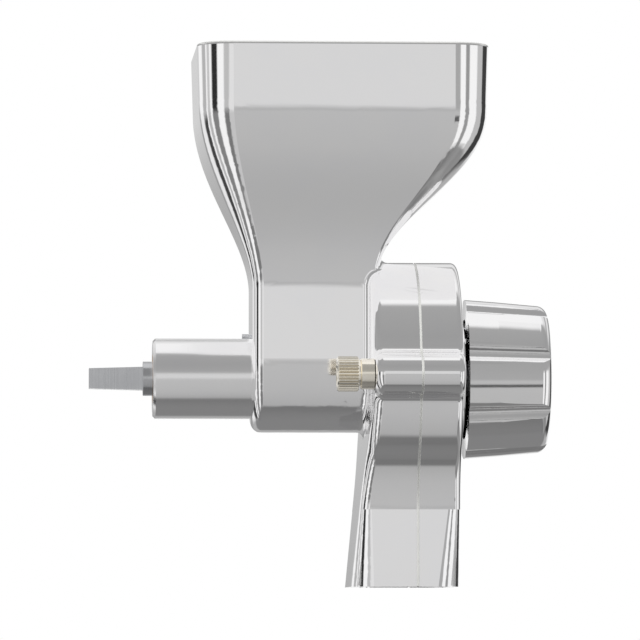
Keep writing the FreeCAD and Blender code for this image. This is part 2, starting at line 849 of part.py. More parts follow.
def detent_spring():
    """A light spring that sits over the back of the detent ball and fills its pocket."""
    reach = (detent_ball_diameter + detent_wire) / 2 + detent_clearance
    seat = math.sqrt(reach ** 2 - (detent_spring_diameter / 2) ** 2)
    start = detent_centre + seat - detent_wire / 2
    return coil(detent_spring_diameter, detent_wire, start, detent_end, detent_turns, 0, detent_circle / 2)


def knurled_head(y):
    """Thumb screw head with fine straight teeth round it and chamfered ends."""
    tip = thumb_head_diameter / 2
    root = tip - thumb_knurl_depth
    step = 180.0 / thumb_knurl_count
    radii = [tip, root] * thumb_knurl_count
    points = [polar(r, i * step, head_back) for i, r in enumerate(radii)]
    solid = Part.Face(Part.makePolygon(points + points[:1])).extrude(vec(thumb_head_length, 0, 0))
    c = thumb_head_chamfer
    d = thumb_head_diameter
    ends = [cone(d - 2 * c, d, head_back, head_back + c), rod(d, head_back + c, head_front - c),
            cone(d, d - 2 * c, head_front - c, head_front)]
    solid = solid.common(ends[0].fuse(ends[1:]).removeSplitter())
    solid.translate(vec(0, y, 0))
    return solid


def thumb_screw(side):
    y = side * ear_spacing / 2
    neck = rod(thumb_neck_diameter, head_front, collar_back, y)
    stem = rod(thumb_screw_diameter, collar_back, thumb_end, y)
    return knurled_head(y).fuse([neck, stem]).removeSplitter()


def screw_collar(side):
    y = side * ear_spacing / 2
    c = thumb_collar_chamfer
    d = thumb_collar_diameter
    ring = rod(d, collar_back + c, housing_back, y)
    ring = ring.fuse(cone(d - 2 * c, d, collar_back, collar_back + c, y)).removeSplitter()
    hole = rod(thumb_screw_diameter + 2 * running_clearance, collar_back, housing_back, y)
    return ring.cut(hole)


nodes = {
    "mill_body": mill_body(),
    "locating_pin": locating_pin(),
    "rear_bush": rear_bush(),
    "fixed_burr": fixed_burr(),
    "fixed_burr_screws": fixed_burr_screws(),
    "return_spring": return_spring(),
    "front_cover": front_cover(),
    "front_bush": front_bush(),
    "drive_shaft": drive_shaft(),
    "feed_worm": feed_worm(),
    "worm_pin": worm_pin(),
    "spring_washer": spring_washer(),
    "moving_burr": moving_burr(),
    "burr_drive_pin": burr_drive_pin(),
    "thrust_ball": thrust_ball(),
    "thrust_pad": thrust_pad(),
    "adjusting_screw": adjusting_screw(),
    "adjusting_knob": adjusting_knob(),
    "knob_pin": knob_pin(),
    "detent_ball": detent_ball(),
    "detent_spring": detent_spring(),
    "thumb_screw_near": thumb_screw(-1),
    "thumb_screw_far": thumb_screw(1),
    "screw_collar_near": screw_collar(-1),
    "screw_collar_far": screw_collar(1),
}

os.makedirs("parts", exist_ok=True)
for name, shape in nodes.items():
    shape.exportStep("parts/" + name + ".step")
    state = "valid" if shape.isValid() else "NOT VALID"
    print(name, len(shape.Solids), "solids", round(shape.Volume / 1000, 2), "cm3", state)
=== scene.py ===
# %% [markdown]
# # A polished grain mill
# The mill is an aluminium casting that plugs into a drive hub: a hopper on a neck, a round burr chamber
# that opens at an upright joint, a chute under it and a fluted knob in front.
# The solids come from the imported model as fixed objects. This script gives each of them its finish,
# models the few pieces that need finer shapes than the solids have, and sets up the studio and camera.

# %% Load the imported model
import bmesh
import bpy
import math
from mathutils import Matrix, Vector


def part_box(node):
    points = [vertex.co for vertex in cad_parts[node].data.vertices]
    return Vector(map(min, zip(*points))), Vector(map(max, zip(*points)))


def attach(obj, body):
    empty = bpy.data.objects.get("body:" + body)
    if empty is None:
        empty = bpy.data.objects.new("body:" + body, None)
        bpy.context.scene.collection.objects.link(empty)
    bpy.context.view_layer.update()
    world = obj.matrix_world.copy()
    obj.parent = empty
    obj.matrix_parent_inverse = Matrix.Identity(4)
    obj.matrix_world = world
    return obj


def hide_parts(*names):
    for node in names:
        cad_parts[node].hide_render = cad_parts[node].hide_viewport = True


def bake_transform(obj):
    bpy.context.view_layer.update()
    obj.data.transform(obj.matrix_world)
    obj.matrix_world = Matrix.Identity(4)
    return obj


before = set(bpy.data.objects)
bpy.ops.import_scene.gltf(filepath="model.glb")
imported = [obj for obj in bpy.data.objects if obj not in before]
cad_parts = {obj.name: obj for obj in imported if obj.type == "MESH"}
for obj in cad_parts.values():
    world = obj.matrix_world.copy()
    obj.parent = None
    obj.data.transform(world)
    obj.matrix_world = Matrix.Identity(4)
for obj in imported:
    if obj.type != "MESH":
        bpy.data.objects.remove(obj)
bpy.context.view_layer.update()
scene = bpy.context.scene

# %% [markdown]
# Every finish below is a node material. Three small helpers keep the cells short: one turns an sRGB hex
# colour into the linear values that Blender's sockets take, one turns a real pattern size into a texture
# scale, and one adds a node with its settings and links in a single line. Three more start a metal, link
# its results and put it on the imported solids, which keep their meshes and only get a new material in
# their slot.

# %% Helpers for colours, sizes and nodes
MM = 0.001


def linear(hex_colour):
    """An sRGB hex colour as linear RGBA."""
    channels = [int(hex_colour[i:i + 2], 16) / 255 for i in (1, 3, 5)]
    return [c / 12.92 if c <= 0.04045 else ((c + 0.055) / 1.055) ** 2.4 for c in channels] + [1.0]


def per_mm(size):
    """Texture scale of a pattern this many millimetres wide, on coordinates in metres."""
    return 1 / (size * MM)


def add(tree, kind, inputs=(), **fields):
    """Add a node, set its own fields, then set or link its inputs by name or number."""
    node = tree.nodes.new("ShaderNode" + kind)
    for name, value in fields.items():
        setattr(node, name, value)
    for key, value in dict(inputs).items():
        if isinstance(value, bpy.types.NodeSocket):
            tree.links.new(value, node.inputs[key])
        else:
            node.inputs[key].default_value = value
    return node


def start_finish(name):
    """A new metal with its node tree, its shader and the object coordinates that its patterns follow."""
    material = bpy.data.materials.new(name)
    material.use_nodes = True
    tree = material.node_tree
    shader = tree.nodes["Principled BSDF"]
    shader.inputs["Metallic"].default_value = 1.0
    return material, tree, shader, add(tree, "TexCoord").outputs["Object"]


def finish_with(tree, shader, colour, roughness, normal):
    """Link the three results that every metal here ends in."""
    tree.links.new(colour, shader.inputs["Base Color"])
    tree.links.new(roughness, shader.inputs["Roughness"])
    tree.links.new(normal, shader.inputs["Normal"])


def dress(material, *nodes):
    """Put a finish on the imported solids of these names."""
    for name in nodes:
        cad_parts[name].material_slots[0].material = material
    print(material.name, "on", ", ".join(nodes))


print("white is", [round(c, 3) for c in linear("#ffffff")], "and a 2 mm grain has scale", per_mm(2))

# %% [markdown]
# Polished cast aluminium is nearly a mirror, but a hand-held buffing wheel leaves it a little wavy, with
# hairlines along the stroke and cloudy patches that are slightly less bright. A flat mirror would look
# like chrome, so a broad noise bends the reflections, a stretched noise draws the hairlines, and a soft
# noise varies the colour and the roughness.

# %% Polished aluminium: what the buffing wheel leaves
aluminium, tree, shader, place = start_finish("polished_cast_aluminium")
cloud = add(tree, "TexNoise", {"Vector": place, "Scale": per_mm(22), "Detail": 3.0,
                               "Roughness": 0.6}).outputs["Fac"]
bright = add(tree, "Mix", {0: cloud, 6: linear("#f0f0f2"), 7: linear("#f6f5f4")}, data_type="RGBA").outputs[2]
polish = add(tree, "MapRange", {"Value": cloud, "From Min": 0.3, "From Max": 0.7,
                                "To Min": 0.05, "To Max": 0.09}).outputs[0]
waves = add(tree, "TexNoise", {"Vector": place, "Scale": per_mm(14), "Detail": 1.0}).outputs["Fac"]
# Real hairlines are about 0.02 mm wide; they are drawn 0.6 mm wide so that they show.
stroke = add(tree, "Mapping", {"Vector": place, "Scale": (per_mm(16), per_mm(0.6), per_mm(0.6))}).outputs[0]
hairlines = add(tree, "TexNoise", {"Vector": stroke, "Scale": 1.0, "Detail": 2.0}).outputs["Fac"]
wavy = add(tree, "Bump", {"Height": waves, "Distance": 0.02 * MM}).outputs[0]
lined = add(tree, "Bump", {"Height": hairlines, "Strength": 0.25, "Distance": 0.004 * MM,
                           "Normal": wavy}).outputs[0]
print(aluminium.name, "starts with", len(tree.nodes), "nodes")

# %% [markdown]
# The wheel only reaches the outside. Inside the hopper, the barrel, the burr chamber and the chute the
# casting keeps its sandy skin. A mask painted by hand would need a changed mesh, so the inside is found
# from the place of each point: it is inside where it is nearer to the middle than the middle of the wall.
# The hopper's walls run in an S from the rim band to the neck, which a Map Range set to a smooth step
# draws by itself. Its corners are round in plan: there a point is inside while its distance from the
# corner's own centre stays under the corner's radius.

# %% Polished aluminium: the inside of the hopper
spot = add(tree, "SeparateXYZ", {0: place}).outputs
sideways = add(tree, "Math", {0: spot["Y"]}, operation="ABSOLUTE").outputs[0]
backwards = add(tree, "Math", {0: spot["X"], 1: -1.0}, operation="MULTIPLY").outputs[0]
corner = add(tree, "MapRange", {"Value": spot["Z"], "From Min": 36 * MM, "From Max": 111 * MM,
                                "To Min": 2.5 * MM, "To Max": 12.2 * MM},
             interpolation_type="SMOOTHSTEP").outputs[0]
# Each wall: where its middle is at the neck and at the band, and the heights between which it bends.
walls = [(sideways, 17.4, 45.4, 36.8, 107.3), (spot["X"], 45.5, 92.8, 39.8, 105.0),
         (backwards, -3.5, 21.0, 32.3, 108.8)]
past = []
for across, at_neck, at_band, low, high in walls:
    wall = add(tree, "MapRange", {"Value": spot["Z"], "From Min": low * MM, "From Max": high * MM,
                                  "To Min": at_neck * MM, "To Max": at_band * MM},
               interpolation_type="SMOOTHSTEP").outputs[0]
    outwards = add(tree, "Math", {0: across, 1: wall}, operation="SUBTRACT").outputs[0]
    outwards = add(tree, "Math", {0: outwards, 1: corner}, operation="ADD").outputs[0]
    past.append(add(tree, "Math", {0: outwards, 1: 0.0}, operation="MAXIMUM").outputs[0])
lengthwise = add(tree, "Math", {0: past[1], 1: past[2]}, operation="MAXIMUM").outputs[0]
from_centre = add(tree, "CombineXYZ", {"X": lengthwise, "Y": past[0]}).outputs[0]
from_centre = add(tree, "VectorMath", {0: from_centre}, operation="LENGTH").outputs["Value"]
inside = add(tree, "Math", {0: from_centre, 1: corner}, operation="LESS_THAN").outputs[0]
throat_foot, rim_lip = 16 * MM, 132.5 * MM
for limit, side in ((throat_foot, "GREATER_THAN"), (rim_lip, "LESS_THAN")):
    held = add(tree, "Math", {0: spot["Z"], 1: limit}, operation=side).outputs[0]
    inside = add(tree, "Math", {0: inside, 1: held}, operation="MULTIPLY").outputs[0]
print("hopper inside from", throat_foot, "to", rim_lip, "m")

# %% Polished aluminium: the inside of the barrel, the chamber and the chute
off_axis = add(tree, "VectorMath", {0: place, 1: (0, 1, 1)}, operation="MULTIPLY").outputs[0]
radius = add(tree, "VectorMath", {0: off_axis}, operation="LENGTH").outputs["Value"]
lean = add(tree, "MapRange", {"Value": spot["Z"], "From Min": -85 * MM, "From Max": -20 * MM,
                              "To Min": 42.6 * MM, "To Max": 49.3 * MM}).outputs[0]
below = add(tree, "Math", {0: spot["Z"], 1: -1.0}, operation="MULTIPLY").outputs[0]
# Each hollow is a set of limits: a measure, what it must stay above, and what it must stay below.
barrel = [(radius, 0.0, 16.6 * MM), (spot["X"], 3.5 * MM, 53 * MM)]
chamber = [(radius, 0.0, 43.8 * MM), (spot["X"], 52.7 * MM, 80.3 * MM)]
chute = [(sideways, -1.0, 25.9 * MM), (spot["X"], lean, 82.2 * MM), (below, 30 * MM, 84.5 * MM)]
for limits in (barrel, chamber, chute):
    held = 1.0
    for measure, least, most in limits:
        over = add(tree, "Math", {0: measure, 1: least}, operation="GREATER_THAN").outputs[0]
        under = add(tree, "Math", {0: measure, 1: most}, operation="LESS_THAN").outputs[0]
        held = add(tree, "Math", {0: over, 1: held}, operation="MULTIPLY").outputs[0]
        held = add(tree, "Math", {0: under, 1: held}, operation="MULTIPLY").outputs[0]
    inside = add(tree, "Math", {0: inside, 1: held}, operation="MAXIMUM").outputs[0]
print("hollows found for the barrel, the chamber and the chute")

# %% [markdown]
# Sand leaves a dull, grainy skin on the walls that the wheel can't reach. The shank is turned to fit the
# hub, so it carries fine rings: a one-dimensional noise along the shaft draws them unevenly, as a lathe
# tool does. Each look has its own bump, and a mask decides where it shows.

# %% Polished aluminium: sandy skin and turned shank
# Real grains are 0.3 mm; they are drawn 0.9 mm wide so that they show.
sand = add(tree, "TexNoise", {"Vector": place, "Scale": per_mm(0.9), "Detail": 4.0,
                              "Roughness": 0.7}).outputs["Fac"]
skin = add(tree, "Mix", {0: sand, 6: linear("#cdcdcd"), 7: linear("#ebebeb")}, data_type="RGBA").outputs[2]
shoulder, around_shank = -0.05 * MM, 17 * MM
behind_shoulder = add(tree, "Math", {0: spot["X"], 1: shoulder}, operation="LESS_THAN").outputs[0]
near_axis = add(tree, "Math", {0: radius, 1: around_shank}, operation="LESS_THAN").outputs[0]
turned = add(tree, "Math", {0: behind_shoulder, 1: near_axis}, operation="MULTIPLY").outputs[0]
rings = add(tree, "TexNoise", {"W": spot["X"], "Scale": per_mm(0.7), "Detail": 2.0},
            noise_dimensions="1D").outputs["Fac"]
colour = add(tree, "Mix", {0: inside, 6: bright, 7: skin}, data_type="RGBA").outputs[2]
rough = add(tree, "Mix", {0: inside, 2: polish, 3: 0.46}).outputs[0]
rough = add(tree, "Mix", {0: turned, 2: rough, 3: 0.17}).outputs[0]
sandy = add(tree, "Math", {0: sand, 1: inside}, operation="MULTIPLY").outputs[0]
grooved = add(tree, "Math", {0: rings, 1: turned}, operation="MULTIPLY").outputs[0]
normal = add(tree, "Bump", {"Height": sandy, "Strength": 0.8, "Distance": 0.12 * MM,
                            "Normal": lined}).outputs[0]
normal = add(tree, "Bump", {"Height": grooved, "Strength": 0.6, "Distance": 0.02 * MM,
                            "Normal": normal}).outputs[0]
print("the shank is turned behind", shoulder, "m")

# %% [markdown]
# The rim's lip and the faces of the upright joint are milled after polishing, which leaves them less sharp.
# Both are also painted a little paler, as a painted highlight that draws them as bright lines. Thin strips
# of mesh could carry a second material, but the solids keep their meshes, so these faces are found from
# their place too: the joint by its distance from the plane of the split, under the hopper, and the lip by
# its height.

# %% Polished aluminium: milled faces and painted highlight lines
joint_plane, joint_edge, ear_top, highlit_lip_height = 66.7 * MM, 0.55 * MM, 48.5 * MM, 133.4 * MM
at_joint = add(tree, "Math", {0: spot["X"], 1: joint_plane, 2: joint_edge}, operation="COMPARE").outputs[0]
under_hopper = add(tree, "Math", {0: spot["Z"], 1: ear_top}, operation="LESS_THAN").outputs[0]
at_joint = add(tree, "Math", {0: at_joint, 1: under_hopper}, operation="MULTIPLY").outputs[0]
at_lip = add(tree, "Math", {0: spot["Z"], 1: highlit_lip_height}, operation="GREATER_THAN").outputs[0]
milled_and_highlit = add(tree, "Math", {0: at_joint, 1: at_lip}, operation="MAXIMUM").outputs[0]
# a painted highlight: the milled joint and lip are drawn paler, as bright lines
colour = add(tree, "Mix", {0: milled_and_highlit, 6: colour, 7: linear("#f6f6f4")}, data_type="RGBA").outputs[2]
rough = add(tree, "Mix", {0: milled_and_highlit, 2: rough, 3: 0.34}).outputs[0]
finish_with(tree, shader, colour, rough, normal)
dress(aluminium, "mill_body", "front_cover", "adjusting_knob")

# %% [markdown]
# The thumb screws and their collars are turned brass with bright nickel plate. Nickel is a little yellow
# beside aluminium, which is what gives these small parts their ivory look. Between the teeth of the knurl
# the finish darkens and dulls with depth below the teeth. The distance from the nearer screw's axis gives
# that depth for both screws at once.

# %% Bright nickel plate
nickel, tree, shader, place = start_finish("bright_nickel_plate")
spot = add(tree, "SeparateXYZ", {0: place}).outputs
screw_aside, groove_floor, tooth_crest = 49 * MM, 6.6 * MM, 7.0 * MM
knurl_from, knurl_to = 33.2 * MM, 41 * MM
sideways = add(tree, "Math", {0: spot["Y"]}, operation="ABSOLUTE").outputs[0]
aside = add(tree, "Math", {0: sideways, 1: screw_aside}, operation="SUBTRACT").outputs[0]
from_axis = add(tree, "CombineXYZ", {"Y": aside, "Z": spot["Z"]}).outputs[0]
radius = add(tree, "VectorMath", {0: from_axis}, operation="LENGTH").outputs["Value"]
deep = add(tree, "MapRange", {"Value": radius, "From Min": groove_floor, "From Max": tooth_crest,
                              "To Min": 1.0, "To Max": 0.0}).outputs[0]
on_head = add(tree, "Math", {0: spot["X"], 1: knurl_to}, operation="LESS_THAN").outputs[0]
off_face = add(tree, "Math", {0: spot["X"], 1: knurl_from}, operation="GREATER_THAN").outputs[0]
# darker and duller towards the floor of the knurl's grooves, by depth below the teeth
groove_darkening = add(tree, "Math", {0: deep, 1: on_head}, operation="MULTIPLY").outputs[0]
groove_darkening = add(tree, "Math", {0: groove_darkening, 1: off_face}, operation="MULTIPLY").outputs[0]
mottle = add(tree, "TexNoise", {"Vector": place, "Scale": per_mm(3), "Detail": 3.0}).outputs["Fac"]
plate = add(tree, "Mix", {0: mottle, 6: linear("#f6efdf"), 7: linear("#fdf9f0")}, data_type="RGBA").outputs[2]
colour = add(tree, "Mix", {0: groove_darkening, 6: plate, 7: linear("#cdc3ae")}, data_type="RGBA").outputs[2]
gloss = add(tree, "MapRange", {"Value": mottle, "To Min": 0.1, "To Max": 0.22}).outputs[0]
rough = add(tree, "Mix", {0: groove_darkening, 2: gloss, 3: 0.42}).outputs[0]
# Turning rings under the plate are about 0.1 mm apart; they are drawn 0.4 mm apart.
rings = add(tree, "TexNoise", {"W": spot["X"], "Scale": per_mm(0.4), "Detail": 1.0},
            noise_dimensions="1D").outputs["Fac"]
normal = add(tree, "Bump", {"Height": rings, "Strength": 0.4, "Distance": 0.01 * MM}).outputs[0]
finish_with(tree, shader, colour, rough, normal)
dress(nickel, "screw_collar_near", "screw_collar_far")

# %% [markdown]
# The shaft, the pins and the screws inside are steel, turned and then ground. Grinding leaves fine rings
# round the shaft with a cool grey shine. One noise along the shaft gives both the rings' height and the
# small changes of roughness that go with them.

# %% Ground steel
steel, tree, shader, place = start_finish("ground_steel")
spot = add(tree, "SeparateXYZ", {0: place}).outputs
# Grinding lines are about 0.03 mm apart; they are drawn 0.5 mm apart.
rings = add(tree, "TexNoise", {"W": spot["X"], "Scale": per_mm(0.5), "Detail": 3.0},
            noise_dimensions="1D").outputs["Fac"]
stain = add(tree, "TexNoise", {"Vector": place, "Scale": per_mm(9), "Detail": 4.0}).outputs["Fac"]
colour = add(tree, "Mix", {0: stain, 6: linear("#b3b4b7"), 7: linear("#cfd0d2")}, data_type="RGBA").outputs[2]
rough = add(tree, "MapRange", {"Value": rings, "From Min": 0.3, "From Max": 0.7,
                               "To Min": 0.15, "To Max": 0.28}).outputs[0]
normal = add(tree, "Bump", {"Height": rings, "Strength": 0.5, "Distance": 0.01 * MM}).outputs[0]
finish_with(tree, shader, colour, rough, normal)
dress(steel, "drive_shaft", "worm_pin", "spring_washer", "burr_drive_pin", "adjusting_screw", "knob_pin",
      "locating_pin", "fixed_burr_screws", "thrust_pad", "thrust_ball", "detent_ball")

# %% [markdown]
# The bushes are sintered bronze: powder pressed and baked, so it is full of small pores that hold oil.
# The pores show as dark specks in a warm, satin metal. Cells of a Voronoi texture, cut off near their
# middles, make round specks of about the same size, which a plain noise would not.

# %% Sintered bronze
bronze, tree, shader, place = start_finish("sintered_bronze")
# Real pores are about 0.05 mm; they are drawn 0.2 mm wide, 0.7 mm apart.
cells = add(tree, "TexVoronoi", {"Vector": place, "Scale": per_mm(0.7)}).outputs["Distance"]
pore = add(tree, "MapRange", {"Value": cells, "From Min": 0.12, "From Max": 0.22,
                              "To Min": 1.0, "To Max": 0.0}).outputs[0]
oil = add(tree, "TexNoise", {"Vector": place, "Scale": per_mm(6), "Detail": 3.0}).outputs["Fac"]
metal = add(tree, "Mix", {0: oil, 6: linear("#b98748"), 7: linear("#d3a667")}, data_type="RGBA").outputs[2]
colour = add(tree, "Mix", {0: pore, 6: metal, 7: linear("#5a4020")}, data_type="RGBA").outputs[2]
rough = add(tree, "MapRange", {"Value": oil, "To Min": 0.24, "To Max": 0.4}).outputs[0]
normal = add(tree, "Bump", {"Height": pore, "Strength": 0.6, "Distance": 0.03 * MM}, invert=True).outputs[0]
finish_with(tree, shader, colour, rough, normal)
dress(bronze, "rear_bush", "front_bush")

# %% [markdown]
# The burrs and the worm are hard cast iron, dark grey and grainy. The two milling faces are ground flat, and
# the crest of the worm's flight is rubbed by its load, so both are brighter and smoother than the rest. The
# faces are found by their place along the shaft and the crest by its distance from it.

# %% Hardened cast iron
iron, tree, shader, place = start_finish("hardened_cast_iron")
spot = add(tree, "SeparateXYZ", {0: place}).outputs
# Real grains are about 0.2 mm; they are drawn 1.1 mm wide.
grain = add(tree, "TexNoise", {"Vector": place, "Scale": per_mm(1.1), "Detail": 5.0,
                               "Roughness": 0.65}).outputs["Fac"]
cast = add(tree, "Mix", {0: grain, 6: linear("#5f6063"), 7: linear("#86878b")}, data_type="RGBA").outputs[2]
milling_gap, ground_depth = 60.3 * MM, 0.4 * MM
worm_end, rub_start, rub_full = 56 * MM, 14.2 * MM, 14.7 * MM
ground = add(tree, "Math", {0: spot["X"], 1: milling_gap, 2: ground_depth}, operation="COMPARE").outputs[0]
off_axis = add(tree, "VectorMath", {0: place, 1: (0, 1, 1)}, operation="MULTIPLY").outputs[0]
radius = add(tree, "VectorMath", {0: off_axis}, operation="LENGTH").outputs["Value"]
before_burr = add(tree, "Math", {0: spot["X"], 1: worm_end}, operation="LESS_THAN").outputs[0]
crest = add(tree, "MapRange", {"Value": radius, "From Min": rub_start, "From Max": rub_full}).outputs[0]
rubbed = add(tree, "Math", {0: crest, 1: before_burr}, operation="MULTIPLY").outputs[0]
worn = add(tree, "Math", {0: ground, 1: rubbed}, operation="MAXIMUM").outputs[0]
colour = add(tree, "Mix", {0: worn, 6: cast, 7: linear("#a6a7aa")}, data_type="RGBA").outputs[2]
dull = add(tree, "MapRange", {"Value": grain, "From Min": 0.3, "From Max": 0.7,
                              "To Min": 0.4, "To Max": 0.56}).outputs[0]
rough = add(tree, "Mix", {0: worn, 2: dull, 3: 0.24}).outputs[0]
normal = add(tree, "Bump", {"Height": grain, "Strength": 0.5, "Distance": 0.06 * MM}).outputs[0]
finish_with(tree, shader, colour, rough, normal)
dress(iron, "fixed_burr", "moving_burr", "feed_worm")

# %% [markdown]
# The springs are hard-drawn steel wire, heated after coiling, which leaves a thin straw to grey-blue film.
# The film changes slowly along the wire, so a broad noise mixes two tints, and a fine one gives the dull
# streaks of the drawing die.

# %% Drawn spring wire
wire, tree, shader, place = start_finish("drawn_spring_wire")
film = add(tree, "TexNoise", {"Vector": place, "Scale": per_mm(5), "Detail": 2.0}).outputs["Fac"]
colour = add(tree, "Mix", {0: film, 6: linear("#7d8188"), 7: linear("#a9a394")}, data_type="RGBA").outputs[2]
# Die marks are about 0.01 mm wide; they are drawn 0.3 mm wide.
streaks = add(tree, "TexNoise", {"Vector": place, "Scale": per_mm(0.3), "Detail": 2.0}).outputs["Fac"]
rough = add(tree, "MapRange", {"Value": streaks, "From Min": 0.3, "From Max": 0.7,
                               "To Min": 0.2, "To Max": 0.36}).outputs[0]
normal = add(tree, "Bump", {"Height": streaks, "Strength": 0.3, "Distance": 0.01 * MM}).outputs[0]
finish_with(tree, shader, colour, rough, normal)
print(wire.name, "with", len(tree.nodes), "nodes, for the springs below")

# %% [markdown]
# Both springs are compression springs: their end turns are wound close and ground flat, so that they sit
# square. Spinning a circle of wire round the axis while it moves along gives each stretch of coil, close at
# the ends and open between. A curve with a bevel could wind the same coil, but its ends could not be ground;
# here a plane cuts the mesh at each end, and the cut is filled.

# %% A helper that makes a piece of a mesh
def make_piece(bm, name, material):
    """Close up a bmesh, smooth it and make it an object with a finish in its slot."""
    bmesh.ops.remove_doubles(bm, verts=bm.verts, dist=0.001 * MM)
    bmesh.ops.recalc_face_normals(bm, faces=bm.faces)
    mesh = bpy.data.meshes.new(name)
    bm.to_mesh(mesh)
    bm.free()
    mesh.shade_smooth()
    mesh.set_sharp_from_angle(angle=math.radians(35))
    mesh.materials.append(material)
    piece = bpy.data.objects.new(name, mesh)
    scene.collection.objects.link(piece)
    print(name, "has", len(mesh.polygons), "faces")
    return piece


# %% Winding the springs
along = Vector((1, 0, 0))
WIRE_SIDES, STEPS_A_COIL = 14, 32
END_TURNS, GROUND_SHARE = 0.75, 0.3


def wound_spring(node, gauge, turns):
    """A compression spring in the place of a packed one, from its wire gauge and its count of turns."""
    low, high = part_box(node)
    middle = (low + high) / 2
    coil = (high.y - low.y) / 2 - gauge / 2
    close, ground = END_TURNS * gauge, GROUND_SHARE * gauge
    rise = high.x - low.x - 2 * ground - 2 * close
    bm = bmesh.new()
    bmesh.ops.create_circle(bm, segments=WIRE_SIDES, radius=gauge / 2)
    bmesh.ops.translate(bm, verts=bm.verts, vec=(low.x + ground, middle.y + coil, middle.z))
    stretch, ends = bm.verts[:] + bm.edges[:], [bm.edges[:]]
    for count, advance in ((END_TURNS, close), (turns - 2 * END_TURNS, rise), (END_TURNS, close)):
        steps = round(STEPS_A_COIL * count)
        spun = bmesh.ops.spin(bm, geom=stretch, cent=middle, axis=along, angle=math.tau * count,
                              dvec=along * advance / steps, steps=steps)
        stretch = spun["geom_last"]
    ends.append([e for e in stretch if isinstance(e, bmesh.types.BMEdge)])
    for loop in ends:
        bmesh.ops.edgeloop_fill(bm, edges=loop)
    for at, outwards in ((low.x, -along), (high.x, along)):
        cut = bmesh.ops.bisect_plane(bm, geom=bm.verts[:] + bm.edges[:] + bm.faces[:], plane_co=along * at,
                                     plane_no=outwards, clear_outer=True)["geom_cut"]
        bmesh.ops.edgeloop_fill(bm, edges=[e for e in cut if isinstance(e, bmesh.types.BMEdge)])
    piece = make_piece(bm, node + "_wire", wire)
    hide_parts(node)
    return piece, Vector((low.x, middle.y, middle.z)), Vector((high.x, middle.y, middle.z))


return_spring, start, end = wound_spring("return_spring", gauge=1.6 * MM, turns=3.5)
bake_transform(return_spring)
detent_spring, start, end = wound_spring("detent_spring", gauge=0.6 * MM, turns=9)
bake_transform(detent_spring)

# %% [markdown]
# A thumb screw is turned from bar: a knurled head to grip, a short neck, a plain stem and a thread at the
# tip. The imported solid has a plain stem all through, so the screw is modelled again with its thread. The
# head starts as a circle with four points to a tooth, two of them drawn in. A lathe chamfers the head
# after it is knurled, which takes more off the crests than off the grooves, so the grooves run out nearer
# to the face. Then rings are pulled along the axis for the neck, the stem and the core of the thread.

# %% A helper that pulls a ring along an axis
def pull_ring(bm, edges, axis_point, x, radius):
    """Pull a loop of edges out into a new round ring at x on the axis."""
    grown = bmesh.ops.extrude_edge_only(bm, edges=edges)["geom"]
    for v in (g for g in grown if isinstance(g, bmesh.types.BMVert)):
        arm = v.co - axis_point
        arm.x = 0
        v.co = axis_point + along * x + arm.normalized() * radius
    return [g for g in grown if isinstance(g, bmesh.types.BMEdge)]


# %% The thumb screw: head and stem
TEETH, TOOTH_DEPTH, CHAMFER = 32, 0.45 * MM, 0.6 * MM
DISH_RADIUS, DISH_DEPTH = 5.2 * MM, 0.35 * MM
NECK_LENGTH, NECK_RADIUS = 0.6 * MM, 5 * MM
STEM_RADIUS, CORE_RADIUS, TIP_CHAMFER = 3 * MM, 2.45 * MM, 0.5 * MM
thread_start = 65.2 * MM


def screw_blank(low, high, collar_start):
    """The screw without its thread ridge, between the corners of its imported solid."""
    axis_point = Vector((0, (low.y + high.y) / 2, (low.z + high.z) / 2))
    head_end = collar_start - NECK_LENGTH
    head_radius = (high.y - low.y) / 2
    face_radius = head_radius - CHAMFER
    drawn_in = 1 - TOOTH_DEPTH / head_radius
    bm = bmesh.new()
    rim = bmesh.ops.create_circle(bm, segments=4 * TEETH, radius=head_radius)["verts"]
    grooves = [v for i, v in enumerate(rim) if i % 4 > 1]
    bmesh.ops.rotate(bm, verts=rim, cent=(0, 0, 0), matrix=Matrix.Rotation(math.pi / 2, 3, "Y"))
    bmesh.ops.scale(bm, verts=grooves, vec=(1, drawn_in, drawn_in))
    bmesh.ops.translate(bm, verts=rim, vec=axis_point + along * (low.x + CHAMFER))
    bmesh.ops.translate(bm, verts=grooves, vec=-along * TOOTH_DEPTH)
    back = bm.edges[:]
    grown = bmesh.ops.extrude_edge_only(bm, edges=back)["geom"]
    for v in (g for g in grown if isinstance(g, bmesh.types.BMVert)):
        v.co.x = low.x + head_end - v.co.x
    front = [g for g in grown if isinstance(g, bmesh.types.BMEdge)]
    dished_face = [(low.x, face_radius), (low.x, DISH_RADIUS), (low.x + DISH_DEPTH, DISH_RADIUS - DISH_DEPTH)]
    for x, radius in dished_face:
        back = pull_ring(bm, back, axis_point, x, radius)
    stem = [(head_end, face_radius), (head_end, NECK_RADIUS), (collar_start, NECK_RADIUS),
            (collar_start, STEM_RADIUS), (thread_start, STEM_RADIUS),
            (thread_start + TIP_CHAMFER, CORE_RADIUS), (high.x - TIP_CHAMFER, CORE_RADIUS),
            (high.x, CORE_RADIUS - TIP_CHAMFER)]
    for x, radius in stem:
        front = pull_ring(bm, front, axis_point, x, radius)
    bmesh.ops.edgeloop_fill(bm, edges=back)
    bmesh.ops.edgeloop_fill(bm, edges=front)
    return bm, axis_point


print(TEETH, "teeth,", TOOTH_DEPTH, "m deep")

# %% [markdown]
# The thread is a ridge wound round the core. Its section is a small trapezium with its foot sunk in the
# core, and a spin with a step along the axis winds it. At each end the ridge sinks into the core over one
# turn, as a cut thread runs out, so no blunt end shows.

# %% The thumb screw: thread, and both screws in place
PITCH, STEPS_A_TURN = 1.0 * MM, 28
RUN_IN, RUN_OUT, FOOT_RADIUS = 0.6 * MM, 0.2 * MM, CORE_RADIUS - 0.1 * MM
section = [(0.08 * MM, FOOT_RADIUS), (0.42 * MM, STEM_RADIUS),
           (0.58 * MM, STEM_RADIUS), (0.92 * MM, FOOT_RADIUS)]


